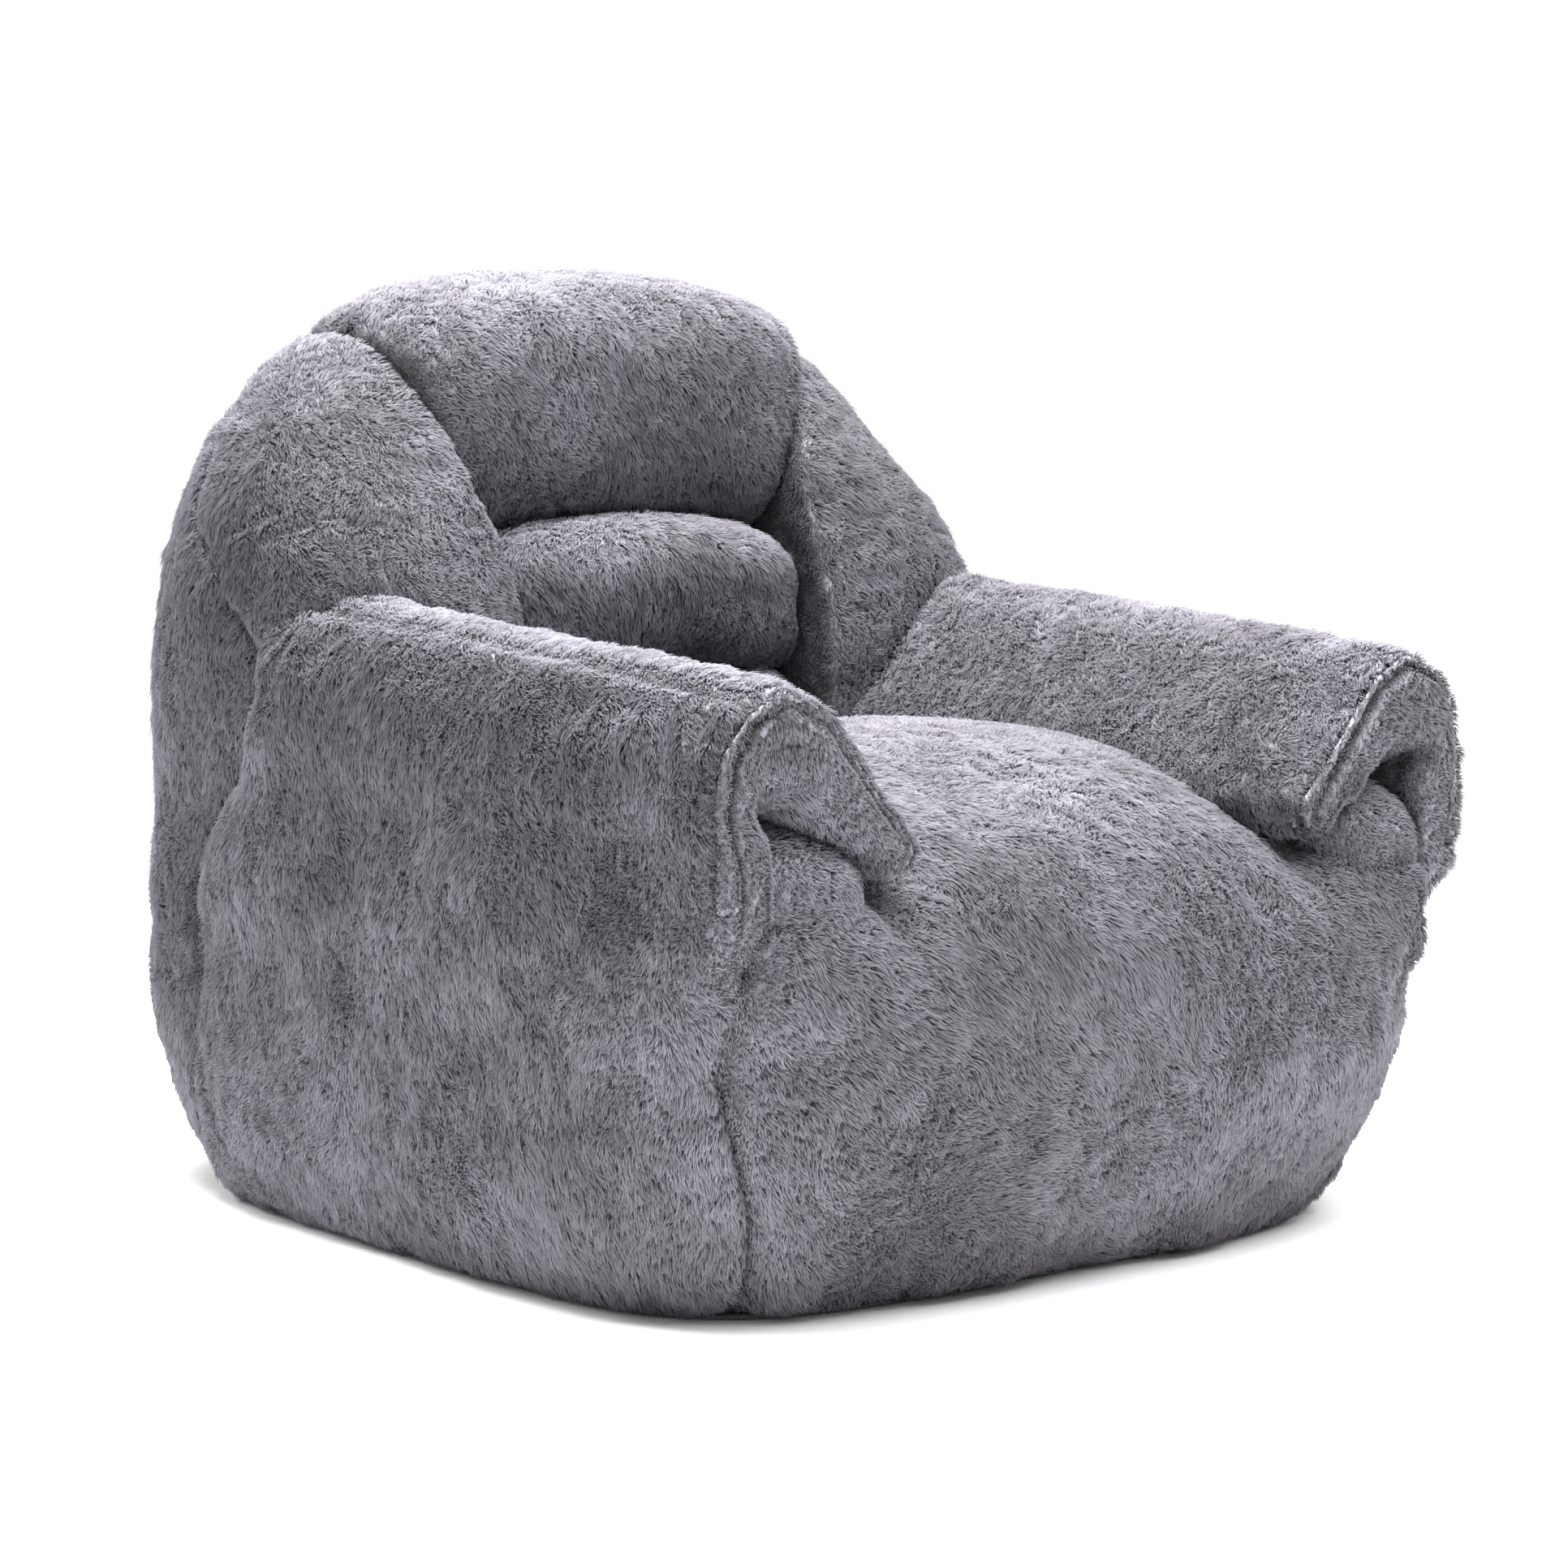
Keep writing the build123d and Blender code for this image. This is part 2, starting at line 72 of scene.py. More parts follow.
# the folded flap of an arm in cross-section: up the outer wall, over and down to its edge
FOLD = [(.408, .30), (.410, .385), (.421, .442), (.414, .480), (.396, .506), (.368, .519),
        (.336, .503), (.250, .399)]
UNDER_FOLD = FOLD + [(.25, .40), (.25, .30)]


# ---- noise and blends --------------------------------------------------------------------
def hashed(i, j, k, seed):
    """A number from 0 to 1 for each lattice point."""
    h = (i * 374761393 + j * 668265263 + k * 2147483647 + seed * 974634777) & 0xFFFFFFFF
    h = ((h ^ (h >> 13)) * 1274126177) & 0xFFFFFFFF
    h = ((h ^ (h >> 16)) * 2246822519) & 0xFFFFFFFF
    return ((h ^ (h >> 15)) & 0xFFFFFF) / float(0xFFFFFF)


def noise(points, size, seed):
    """Smooth value noise from -1 to 1; size is the distance between lattice points."""
    q = points / size
    base = np.floor(q).astype(np.int64)
    f = q - base
    f = f * f * (3 - 2 * f)
    total = np.zeros(len(points))
    for di in (0, 1):
        wx = f[:, 0] if di else 1 - f[:, 0]
        for dj in (0, 1):
            wy = f[:, 1] if dj else 1 - f[:, 1]
            for dk in (0, 1):
                wz = f[:, 2] if dk else 1 - f[:, 2]
                corner = hashed(base[:, 0] + di, base[:, 1] + dj, base[:, 2] + dk, seed)
                total += wx * wy * wz * corner
    return 2 * total - 1


def noise_vectors(points, size, seed):
    """Three independent noises as one vector for each point."""
    return np.stack([noise(points, size, seed + 11 * axis) for axis in range(3)], axis=1)


def smin(a, b, k):
    """The smaller of two, rounded over where they differ by less than k."""
    h = np.clip(0.5 + 0.5 * (b - a) / k, 0, 1)
    return b * (1 - h) + a * h - k * h * (1 - h)


def smax(a, b, k):
    """The larger of two, rounded over in the same way."""
    return -smin(-a, -b, k)


def step(a, b, t):
    """Smooth change from 0 at a to 1 at b."""
    t = np.clip((t - a) / (b - a), 0, 1)
    return t * t * (3 - 2 * t)


# ---- the forms, as distances: negative inside --------------------------------------------
def superform(x, y, z, half, plan_power, power):
    """A rounded block: the powers say how square it is in plan and in height."""
    plan = np.abs(x / half[0]) ** plan_power + np.abs(y / half[1]) ** plan_power
    plan = plan ** (1 / plan_power)
    size = (plan ** power + np.abs(z / half[2]) ** power) ** (1 / power) + 1e-6
    return np.sqrt(x * x + y * y + z * z + 1e-8) * (size - 1) / size + PILE


def stroke(x, z, points):
    """Distance from a line of points in the x, z plane."""
    nearest = None
    for (ax, az), (bx, bz) in zip(points[:-1], points[1:]):
        dx, dz = bx - ax, bz - az
        t = np.clip(((x - ax) * dx + (z - az) * dz) / (dx * dx + dz * dz), 0, 1)
        d = np.sqrt((x - ax - t * dx) ** 2 + (z - az - t * dz) ** 2)
        nearest = d if nearest is None else np.minimum(nearest, d)
    return nearest


def within(x, z, corners):
    """Whether each point is inside a polygon in the x, z plane."""
    inside = np.zeros(np.shape(x), bool)
    for (ax, az), (bx, bz) in zip(corners, corners[1:] + corners[:1]):
        if az != bz:
            crosses = (az > z) != (bz > z)
            inside ^= crosses & (x < (bx - ax) * (z - az) / (bz - az) + ax)
    return inside


def tuck(y, z):
    """The foot of the front and the rear lies further in than their fullest place."""
    return (0.0675 * step(0.06, -0.34, y) - 0.050 * step(0.0, 0.35, y)) * step(0.22, 0.0, z)


def block(x, y, z):
    """The whole foot of the chair, up to the height of the seat."""
    wide = np.abs(x) + 0.012 * step(0.13, 0.0, z)
    return superform(wide, y - 0.0015 - tuck(y, z), z - 0.19, BLOCK_HALF, 5.0, 5.0)


def seat_crown(x, y, z):
    """The full seat: highest near the middle, rolling over into the front."""
    d = superform(x, y + 0.0625 - tuck(y, z), z - 0.20, (0.428, 0.471, 0.285), 4, 2.8)
    fall = np.clip(-(y + 0.1425), 0, None)
    top = SEAT_TOP_Z - 0.55 * np.abs(x) ** 2.2 - 0.12 * np.clip(y + 0.0925, 0, None)
    return smax(d, z - top + 0.9 * fall ** 2 + PILE, 0.06)


def arch(x, z):
    """The back's outline, seen from the front."""
    up = np.clip(z - BACK_WIDEST_Z[1], 0, None)
    down = np.clip(BACK_WIDEST_Z[0] - z, 0, None)
    power = 2.61
    size = (np.abs(x) / BACK_HALF_WIDTH) ** power
    size = size + (up / BACK_REACH[1]) ** power + (down / BACK_REACH[0]) ** power
    size = size ** (1 / power) + 1e-6
    return np.sqrt(x * x + up * up + down * down + 1e-8) * (size - 1) / size


def dome(x, y, z):
    """The back: an arch with well rounded edges."""
    outline = arch(x, z)
    rear_y = 0.5335 - 0.07 * step(0.22, 0.0, z)
    front_y = 0.1275 + 0.07 * step(0.50, 0.85, z)
    faces = np.maximum(front_y - y, y - rear_y)
    a = np.clip(outline + BACK_EDGE, 0, None)
    b = np.clip(faces + BACK_EDGE, 0, None)
    inner = np.minimum(np.maximum(outline, faces) + BACK_EDGE, 0)
    return np.sqrt(a * a + b * b) - BACK_EDGE + inner + PILE


def behind_rear_seam(x, y, z):
    """Positive on the rear panel's side of the seam that winds up round the back."""
    seam_y = 0.355 - 0.045 * step(0, 0.26, z) - 0.107 * step(0.30, 0.52, z)
    seam_y = seam_y + 0.182 * step(0.50, 0.68, z) + 0.05 * step(0.68, 0.84, z)
    return (y - seam_y - 0.22 * (0.446 - np.sqrt(x * x + 0.0225))) * 0.85


def beside_seat(x, y, z):
    """Positive on the side panels' side of the seam at the front corner."""
    low = step(0.24, 0.0, z)
    seam_x = SEAT_SIDE_X - SEAT_FOOT_LEAN * low
    return (np.abs(x) - seam_x - np.clip(FRONT_CORNER_Y + 0.07 * low - y, 0, None)) * 0.8


def beside_crown(x, z):
    """Positive on the wings' side of the seams beside the crown, which widen upwards."""
    middle = np.abs(x + CROWN_SHIFT * step(0.58, 0.70, z))
    return middle - CROWN_HALF_WIDTH - 0.045 * step(0.60, 0.85, z)


def arm_section(x, y, z):
    """Coordinates in the arm's cross-section, the run from its mouth, and its thickness."""
    run = y - MOUTH_Y
    grow = ARM_GROWTH * step(0.0, 0.22, run)
    across = np.abs(x) + 0.45 * grow
    up = z - ARM_SLOPE * np.clip(run, 0, 0.75) + 0.75 * grow
    return across, up, run, ARM_THICK + grow


def arm(x, y, z):
    """The folded flap with its wall, solid behind the pocket."""
    across, up, run, thick = arm_section(x, y, z)
    d = stroke(across, up, FOLD) - thick
    d = smin(d, stroke(across, up, [(.412, .33), (.412, .405)]) - 0.030, 0.012)
    swell = 0.020 + 0.021 * step(0.0, 0.08, run)
    d = smin(d, stroke(across, up, [(.385, .475), (.345, .478), (.285, .425)]) - swell, 0.012)
    core = stroke(across, up, [(.35, .30), (.355, .44)]) - 0.075
    d = smin(d, smax(core, POCKET_END_Y - y, 0.02), 0.02)
    d = smax(d, -run, 0.016)
    d = smax(d, 0.345 - z - 0.9 * np.clip(run, 0, None), 0.02)
    return smax(d, y - ARM_END_Y, 0.06) + PILE


def outside_fold(x, y, z):
    """Positive on the outer side of the surface where cover and lining of the flap meet."""
    across, up, _, _ = arm_section(x, y, z)
    d = stroke(across, up, FOLD)
    return np.where(within(across, up, UNDER_FOLD), -d, d) - 0.007


def behind_binding(y, z):
    """Positive outside the strip that edges an arm's mouth."""
    return np.maximum(y - MOUTH_Y - BINDING_DEPTH, BINDING_FOOT_Z - z)


def side(x, y, z):
    """From the floor up the flank and over the arm, with the solid part of the arm."""
    low = smax(block(x, y, z), -beside_seat(x, y, z), SEAM)
    cover = np.minimum(-outside_fold(x, y, z), POCKET_END_Y - y)
    flap = smax(smax(arm(x, y, z), cover, FINE_SEAM), -behind_binding(y, z), 0.008)
    d = smin(low, flap, 0.07)
    return smax(d, behind_rear_seam(x, y, z), SEAM)


def binding(x, y, z):
    """The padded edge of an arm's mouth."""
    d = smax(arm(x, y, z), -outside_fold(x, y, z), FINE_SEAM)
    return smax(d, behind_binding(y, z), 0.008)


def lining(x, y, z):
    """The inner side of the folded flap."""
    d = smax(arm(x, y, z), outside_fold(x, y, z), FINE_SEAM)
    return smax(d, y - POCKET_END_Y - 0.01, 0.01)


def bolster(x, y, z):
    """The rounded floor of an arm's pocket."""
    return superform(np.abs(x) - 0.335, y + 0.375, z - 0.36, (0.070, 0.122, 0.067), 3.0, 2.2)


def seat(x, y, z):
    """Front and seat top in one panel, with a fuller corner under each bolster."""
    d = smin(seat_crown(x, y, z), smax(block(x, y, z), z - 0.30, 0.05), 0.04)
    corner = superform(np.abs(x) - 0.33, y + 0.40, z - 0.30, (0.085, 0.10, 0.062), 4, 4)
    d = smax(smin(d, corner, 0.03), beside_seat(x, y, z), SEAM)
    return smax(d, y - SEAT_END_Y, 0.03)


def zip_slot(x, y, z):
    """The flat-bottomed hollow that the zip lies in."""
    sides = np.maximum(np.abs(x) - ZIP_SLOT_END_X, np.abs(z - ZIP_Z) - ZIP_SLOT_HALF)
    return np.maximum(sides, ZIP_SLOT_FLOOR_Y - y)


def rear(x, y, z):
    """The rear of the foot and of the back in one panel."""
    d = smin(smax(block(x, y, z), z - 0.45, 0.05), dome(x, y, z), 0.03)
    d = smax(d, -behind_rear_seam(x, y, z), SEAM)
    return smax(d, -zip_slot(x, y, z), 0.004)


def wing(x, y, z):
    """A flank of the back, fullest just over the arm."""
    bulge = superform(np.abs(x) - 0.31, y - 0.235, z - 0.49, (0.115, 0.115, 0.19), 2.2, 2.2)
    d = smin(dome(x, y, z), bulge, 0.06)
    d = smax(d, -beside_crown(x, z), FINE_SEAM)
    d = smax(d, behind_rear_seam(x, y, z), SEAM)
    return smax(d, 0.38 - z, 0.02)


def above_lumbar(x, z):
    """Negative above the crown's lower seam, which sinks towards its ends."""
    return 0.652 - 0.7 * x * x - z


def crown(x, y, z):
    """The back's upper panel, which bulges over the lumbar roll."""
    bulge = superform(x + 0.01, y - 0.295, z - 0.765, (0.31, 0.104, 0.135), 3.0, 3.2)
    bulge = smax(bulge, arch(x, z) + 0.022, 0.05)
    d = smin(smax(dome(x, y, z), 0.2475 - y, 0.03), bulge, 0.05)
    d = smax(d, beside_crown(x, z), FINE_SEAM)
    d = smax(d, above_lumbar(x, z), 0.045)
    return smax(d, behind_rear_seam(x, y, z), SEAM)


def lumbar(x, y, z):
    """The roll under the crown, lower at its ends."""
    middle = 0.573 - 0.5 * x * x
    return superform(x + 0.008, z - middle, y - 0.2475, (0.196, 0.078, 0.122), 4.0, 3.0)


def tail(x, y, z):
    """The narrow strip between lumbar roll and seat."""
    return superform(x, z - 0.458, y - 0.2535, (0.190, 0.050, 0.125), 4.0, 2.4)


def on_floor(d, z):
    """The underside is flat where it stands on the base cloth."""
    return smax(d, UNDERSIDE_Z - z, 0.022)


# ---- meshing -----------------------------------------------------------------------------
def sampled(form, low, high, cell):
    """The form's distances on a grid: fine near the surface, a plain sign elsewhere."""
    span = 8              # cells along a block of the grid
    batch = 2000          # blocks worked out at a time
    count = [int(math.ceil((b - a) / cell / span)) * span for a, b in zip(low, high)]
    axes = [low[i] + cell * np.arange(count[i]) for i in range(3)]
    mids = [axis[span // 2::span] for axis in axes]
    mx, my, mz = np.meshgrid(*mids, indexing="ij")
    rough = form(mx.ravel(), my.ravel(), mz.ravel()).reshape(mx.shape)
    grid = np.repeat(np.repeat(np.repeat(rough, span, 0), span, 1), span, 2)
    near = np.argwhere(np.abs(rough) < cell * span * 1.6)
    offsets = np.stack(np.meshgrid(*[np.arange(span)] * 3, indexing="ij"), -1).reshape(-1, 3)
    for start in range(0, len(near), batch):
        cells = (near[start:start + batch, None] * span + offsets).reshape(-1, 3)
        spots = [axes[i][cells[:, i]] for i in range(3)]
        grid[tuple(cells.T)] = form(*spots)
    return grid, low


def surface(grid, low, cell):
    """Vertices and quads of the grid's zero surface, one vertex in each crossed cell."""
    inside = grid < 0
    shape = np.array(grid.shape) - 1
    cell_sum = np.zeros((int(np.prod(shape)), 3))
    cell_count = np.zeros(int(np.prod(shape)))
    stride = np.array([shape[1] * shape[2], shape[2], 1])
    quads = []
    for axis in range(3):
        ahead = [slice(None)] * 3
        behind = [slice(None)] * 3
        ahead[axis] = slice(1, None)
        behind[axis] = slice(None, -1)
        a, b = inside[tuple(behind)], inside[tuple(ahead)]
        edges = np.argwhere(a != b)
        others = [i for i in range(3) if i != axis]
        keep = np.ones(len(edges), bool)
        for i in others:
            keep &= (edges[:, i] > 0) & (edges[:, i] < shape[i])
        edges = edges[keep]
        v0 = grid[tuple(edges.T)]
        ends = edges.copy()
        ends[:, axis] += 1
        v1 = grid[tuple(ends.T)]
        place = edges.astype(float)
        place[:, axis] += v0 / (v0 - v1)
        ring = []
        for di, dj in ((-1, -1), (0, -1), (0, 0), (-1, 0)):
            owner = edges.copy()
            owner[:, others[0]] += di
            owner[:, others[1]] += dj
            owner = owner @ stride
            ring.append(owner)
            for i in range(3):
                cell_sum[:, i] += np.bincount(owner, place[:, i], len(cell_sum))
            cell_count += np.bincount(owner, minlength=len(cell_sum))
        quad = np.stack(ring, axis=1)
        flip = (v0 < 0) if axis != 1 else (v0 >= 0)
        quad[~flip] = quad[~flip][:, ::-1]
        quads.append(quad)
    quads = np.concatenate(quads)
    used = np.flatnonzero(cell_count > 0)
    index = np.full(len(cell_count), -1)
    index[used] = np.arange(len(used))
    vertices = np.array(low) + cell * cell_sum[used] / cell_count[used, None]
    return vertices, index[quads]


def mesh_object(name, vertices, faces):
    """A smooth-shaded object; all its faces have the same number of corners."""
    mesh = bpy.data.meshes.new(name)
    mesh.vertices.add(len(vertices))
    mesh.vertices.foreach_set("co", np.asarray(vertices, np.float32).ravel())
    size = faces.shape[1]
    mesh.loops.add(faces.size)
    mesh.loops.foreach_set("vertex_index", faces.astype(np.int32).ravel())
    mesh.polygons.add(len(faces))
    mesh.polygons.foreach_set("loop_start", np.arange(0, faces.size, size, dtype=np.int32))
    mesh.update(calc_edges=True)
    mesh.validate()
    mesh.polygons.foreach_set("use_smooth", np.ones(len(mesh.polygons), bool))
    obj = bpy.data.objects.new(name, mesh)
    bpy.context.scene.collection.objects.link(obj)
    return obj


def positions(obj):
    out = np.empty(len(obj.data.vertices) * 3, np.float32)
    obj.data.vertices.foreach_get("co", out)
    return out.reshape(-1, 3).astype(float)


def normals(obj):
    out = np.empty(len(obj.data.vertices) * 3, np.float32)
    obj.data.vertices.foreach_get("normal", out)
    return out.reshape(-1, 3).astype(float)


def set_positions(obj, points):
    obj.data.vertices.foreach_set("co", np.asarray(points, np.float32).ravel())
    obj.data.update()


# ---- padding: pressure between the seams, then the pile's relief -------------------------
PRESSURE_FRAMES = 20


def inflate(obj, pinned, cap):
    """Cloth under pressure, held where pinned; no point moves further than the cap."""
    start = positions(obj)
    group = obj.vertex_groups.new(name="held")
    group.add([int(i) for i in np.flatnonzero(pinned)], 1.0, "REPLACE")
    cloth = obj.modifiers.new("pressure", "CLOTH")
    cloth.settings.quality = 4
    cloth.settings.mass = 0.3
    cloth.settings.tension_stiffness = 15
    cloth.settings.compression_stiffness = 15
    cloth.settings.shear_stiffness = 5
    cloth.settings.bending_stiffness = 0.5
    cloth.settings.use_pressure = True
    cloth.settings.uniform_pressure_force = 4
    cloth.settings.vertex_group_mass = "held"
    cloth.settings.shrink_min = -0.035
    cloth.settings.effector_weights.gravity = 0
    cloth.point_cache.frame_start = 1
    cloth.point_cache.frame_end = PRESSURE_FRAMES
    cloth.collision_settings.use_collision = False
    for number in range(1, PRESSURE_FRAMES + 1):
        bpy.context.scene.frame_set(number)
    depsgraph = bpy.context.evaluated_depsgraph_get()
    result = obj.evaluated_get(depsgraph).to_mesh()
    end = np.empty(len(result.vertices) * 3, np.float32)
    result.vertices.foreach_get("co", end)
    obj.evaluated_get(depsgraph).to_mesh_clear()
    obj.modifiers.remove(cloth)
    obj.vertex_groups.remove(group)
    bpy.context.scene.frame_set(1)
    move = end.reshape(-1, 3) - start
    length = np.linalg.norm(move, axis=1, keepdims=True)
    move *= cap / (cap + length)
    set_positions(obj, start + move)


def subdivide(obj):
    """One level of subdivision, applied to the mesh."""
    modifier = obj.modifiers.new("finer", "SUBSURF")
    modifier.levels = 1
    modifier.render_levels = 1
    bpy.context.view_layer.objects.active = obj
    with bpy.context.temp_override(object=obj, active_object=obj):
        bpy.ops.object.modifier_apply(modifier=modifier.name)


LOWEST_FUR_Z = 0.0035


def relief(obj, seam_distance):
    """Unevenness of the filling, gathers at seams and floor, tufts; marks the seams for painted
    shade.
    """
    at = positions(obj)
    out = normals(obj)
    near_seam = np.exp(-np.clip(seam_distance(at), 0, None) / 0.03)
    near_floor = step(0.20, 0.03, at[:, 2])
    height = 0.0026 * noise(at, 0.11, 3) + 0.0016 * noise(at, 0.055, 5)
    height += 0.0016 * near_seam * noise(at, 0.024, 7)
    height += 0.0060 * near_floor * noise(at * (1, 1, 0.3), 0.075, 9)
    nap = at * (1, 0.8, 0.6)
    height += 0.0013 * noise(nap, 0.0095, 13) + 0.0008 * noise(nap, 0.0055, 17)
    height *= step(0.004, 0.02, at[:, 2])
    # painted shade: seam_shade says, from 0 to 1, how much shade is painted into the seams
    shade = obj.data.attributes.new("seam_shade", "FLOAT", "POINT")
    dark = step(0.007, 0.001, seam_distance(at))
    shade.data.foreach_set("value", dark.astype(np.float32))
    at += out * height[:, None]
    at[:, 2] = np.maximum(at[:, 2], LOWEST_FUR_Z)
    set_positions(obj, at)


# distance of points from each seam
def seam_beside_seat(p):
    return np.abs(beside_seat(p[:, 0], p[:, 1], p[:, 2]))


def seam_behind(p):
    return np.abs(behind_rear_seam(p[:, 0], p[:, 1], p[:, 2]))


def seam_crown(p):
    return np.abs(beside_crown(p[:, 0], p[:, 2]))


def seam_fold(p):
    return np.abs(outside_fold(p[:, 0], p[:, 1], p[:, 2]))


def seam_crown_foot(p):
    return np.abs(above_lumbar(p[:, 0], p[:, 2]))


def nearest_of(*seams):
    """The distance from whichever of the seams is nearest."""
    return lambda p: np.min([seam(p) for seam in seams], axis=0)


# name, form, lowest and highest corner of its box, cell of its grid, seams, how far the
# pressure may move it, how full it is, and the CAD nodes it stands for
PANELS = [
    ("seat_cushion", seat, (-.47, -.55, -.01), (.47, .25, .48), .0085,
     nearest_of(seam_beside_seat), .010, .7, ("seat_panel", "seat_liner", "seat_filling")),
    ("side", side, (.20, -.54, -.01), (.50, .42, .60), .0075,
     nearest_of(seam_beside_seat, seam_behind, seam_fold), .007, .7,
     ("side_panel", "arm_filling", "arm_core_filling")),
    ("arm_edge", binding, (.22, -.51, .33), (.49, -.46, .60), .0035,
     nearest_of(seam_fold), 0, .6, ("mouth_binding",)),
    ("arm_lining", lining, (.22, -.51, .28), (.49, -.21, .60), .005,
     nearest_of(seam_fold), .004, .6, ("arm_lining",)),
    ("arm_bolster", bolster, (.255, -.51, .28), (.415, -.245, .45), .005,
     nearest_of(seam_beside_seat), .006, .6, ("bolster_panel", "bolster_filling")),
    ("wing", wing, (.165, .09, .36), (.46, .53, .90), .0075,
     nearest_of(seam_behind, seam_crown), .008, .6, ("wing_panel", "wing_filling")),
    ("crown_pad", crown, (-.27, .15, .61), (.27, .54, .90), .0075,
     nearest_of(seam_behind, seam_crown, seam_crown_foot), .009, .6,
     ("crown_panel", "crown_filling")),
    ("lumbar_roll", lumbar, (-.20, .11, .48), (.20, .40, .66), .0055,
     nearest_of(seam_crown), .007, .7, ("lumbar_panel", "lumbar_filling")),
    ("tail_strip", tail, (-.20, .11, .40), (.20, .40, .52), .0055,
     nearest_of(seam_crown), .005, .6, ("tail_panel", "tail_filling")),
    ("rear_cushion", rear, (-.47, .14, -.01), (.47, .55, .90), .0100,
     nearest_of(seam_behind), .007, .6, ("rear_panel", "back_liner", "back_filling")),
]
PAIRED = ("side", "arm_edge", "arm_lining", "arm_bolster", "wing")


def make_panel(name, form, low, high, cell, on_left):
    """The mesh of a form; a left panel is the same form met in the mirrored box."""
    def whole(x, y, z):
        return on_floor(form(x, y, z), z)
    if on_left:
        low, high = (-high[0], *low[1:]), (-low[0], *high[1:])
    return mesh_object(name, *surface(*sampled(whole, low, high, cell), cell))


def covered(points, own):
    """How deep a point lies in the nearest other panel: positive inside."""
    depth = np.full(len(points), -1.0)
    for name, form, low, high, *_ in PANELS:
        if name == own:
            continue
        p = points.copy()
        if name in PAIRED:
            p[:, 0] = np.abs(p[:, 0])
        inside_box = np.all((p > np.array(low)) & (p < np.array(high)), axis=1)
        spots = points[inside_box]
        if len(spots):
            value = -form(spots[:, 0], spots[:, 1], spots[:, 2])
            depth[inside_box] = np.maximum(depth[inside_box], value)
    return depth


# ---- materials ---------------------------------------------------------------------------
def new_material(name, **values):
    """A Principled material; an underscore in a value's name stands for a space."""
    material = bpy.data.materials.new(name)
    material.use_nodes = True
    shader = material.node_tree.nodes["Principled BSDF"]
    for key, value in values.items():
        shader.inputs[key.replace("_", " ")].default_value = value
    return material, material.node_tree, shader


def noise_node(tree, scale, stretch=(1, 1, 1), detail=3.0, roughness=0.55):
    place = tree.nodes.new("ShaderNodeTexCoord")
    mapping = tree.nodes.new("ShaderNodeMapping")
    mapping.inputs["Scale"].default_value = stretch
    texture = tree.nodes.new("ShaderNodeTexNoise")
    texture.inputs["Scale"].default_value = scale
    texture.inputs["Detail"].default_value = detail
    texture.inputs["Roughness"].default_value = roughness
    tree.links.new(place.outputs["Object"], mapping.inputs["Vector"])
    tree.links.new(mapping.outputs["Vector"], texture.inputs["Vector"])
    return texture.outputs["Fac"]


def ramp_node(tree, factor, stops):
    ramp = tree.nodes.new("ShaderNodeValToRGB")
    while len(ramp.color_ramp.elements) < len(stops):
        ramp.color_ramp.elements.new(0.5)
    for element, (place, colour) in zip(ramp.color_ramp.elements, stops):
        element.position = place
        element.color = (*colour, 1)
    tree.links.new(factor, ramp.inputs["Fac"])
    return ramp.outputs["Color"]


def blend_node(tree, factor, first, second, mode="MIX"):
    mix = tree.nodes.new("ShaderNodeMix")
    mix.data_type = "RGBA"
    mix.blend_type = mode
    for socket, value in ((mix.inputs["Factor"], factor), (mix.inputs[6], first),
                          (mix.inputs[7], second)):
        if isinstance(value, (int, float, tuple)):
            socket.default_value = value
        else:
            tree.links.new(value, socket)
    return mix.outputs[2]


def bump_node(tree, shader, height, strength, distance):
    bump = tree.nodes.new("ShaderNodeBump")
    bump.inputs["Strength"].default_value = strength
    bump.inputs["Distance"].default_value = distance
    tree.links.new(height, bump.inputs["Height"])
    tree.links.new(bump.outputs["Normal"], shader.inputs["Normal"])


# painted shade: the near-black that the seams are painted with, for the shade in the pile's seam
# grooves
SEAM_PAINTED_SHADE = (0.035, 0.033, 0.036, 1)
FUR_DARK = (0.195, 0.187, 0.202)
FUR_MID = (0.272, 0.264, 0.292)
FUR_LIGHT = (0.350, 0.342, 0.380)


def brushed_tone_and_painted_sheen(tree):
    """Patches where the pile was brushed the other way, from broad to a few centimetres: painted
    sheen and shade of the brushed nap over the pile's own uneven tone.
    """
    broad = noise_node(tree, 4.2, (1, 1, 0.8), 3.0, 0.6)
    # painted sheen and shade: the dark, mid and light patches stand for how light catches the
    # brushed pile
    patch = ramp_node(tree, broad, [(0.30, FUR_DARK), (0.50, FUR_MID), (0.72, FUR_LIGHT)])
    fine = noise_node(tree, 34, (1, 1, 0.55), 4.0, 0.65)
    tufts = ramp_node(tree, fine, [(0.25, (0.75, 0.74, 0.75)), (0.75, (1.2, 1.2, 1.21))])
    return blend_node(tree, 0.75, patch, tufts, "MULTIPLY")


def fur_backing():
    """The panels' own surface: short pile, with painted sheen and shade in its brushed patches
    and painted shade in the seams.
    """
    material, tree, shader = new_material("plush_fur", Roughness=0.92, Sheen_Weight=0.35,
                                          Sheen_Roughness=0.6, Specular_IOR_Level=0.2)
    colour = brushed_tone_and_painted_sheen(tree)
    strands = noise_node(tree, 420, (1, 1, 0.22), 2.0, 0.7)
    streaks = ramp_node(tree, strands, [(0.3, (0.62, 0.62, 0.63)), (0.7, (1.25, 1.25, 1.26))])
    colour = blend_node(tree, 0.8, colour, streaks, "MULTIPLY")
    # painted shade: the seam_shade mask darkens the seams towards near-black
    painted_seam_shade = tree.nodes.new("ShaderNodeAttribute")
    painted_seam_shade.attribute_name = "seam_shade"
    colour = blend_node(tree, painted_seam_shade.outputs["Fac"], colour, SEAM_PAINTED_SHADE)
    tree.links.new(colour, shader.inputs["Base Color"])
    bump_node(tree, shader, strands, 0.7, 0.0016)
    return material


